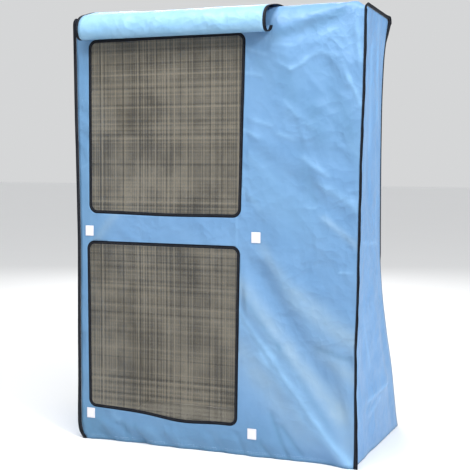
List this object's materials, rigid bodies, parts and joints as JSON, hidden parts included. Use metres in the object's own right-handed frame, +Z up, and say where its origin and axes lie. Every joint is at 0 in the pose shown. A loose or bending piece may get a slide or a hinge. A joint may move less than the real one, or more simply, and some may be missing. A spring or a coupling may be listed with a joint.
{
  "type": "air conditioner cover",
  "caption": "Fitted cloth cover for a tall outdoor air conditioner, with bound mesh windows and a flap thrown back over the top.",
  "frame": {"origin": "the middle of the top panel's underside, where the covered unit holds the cover up", "axes": "+X to the right and +Y to the back as seen from the windows, +Z up"},
  "size_m": [0.968, 0.6182, 1.3965],
  "materials": {
    "wrap_panel": "blue coated woven cloth with a soft sheen",
    "side_panel_right": "blue coated woven cloth with a soft sheen",
    "side_panel_left": "blue coated woven cloth with a soft sheen",
    "seam_binding_right": "black folded tape",
    "seam_binding_left": "black folded tape",
    "window_binding_upper": "black folded tape",
    "window_binding_lower": "black folded tape",
    "window_mesh_upper": "fine dark net",
    "window_mesh_lower": "fine dark net",
    "flap": "blue coated woven cloth with a soft sheen",
    "flap_binding": "black folded tape",
    "fastener": "white hook-and-loop tape"
  },
  "bodies": {
    "root": {"wrap_panel": "wrap_panel", "side_panel_right": "side_panel_right", "side_panel_left": "side_panel_left", "seam_binding_right": "seam_binding_right", "seam_binding_left": "seam_binding_left", "window_binding_upper": "window_binding_upper", "window_binding_lower": "window_binding_lower", "window_mesh_upper": "window_mesh_upper", "window_mesh_lower": "window_mesh_lower", "flap": "flap", "flap_binding": "flap_binding", "fastener_upper_left": "fastener", "fastener_upper_right": "fastener", "fastener_lower_left": "fastener", "fastener_lower_right": "fastener"}
  },
  "joints": []
}
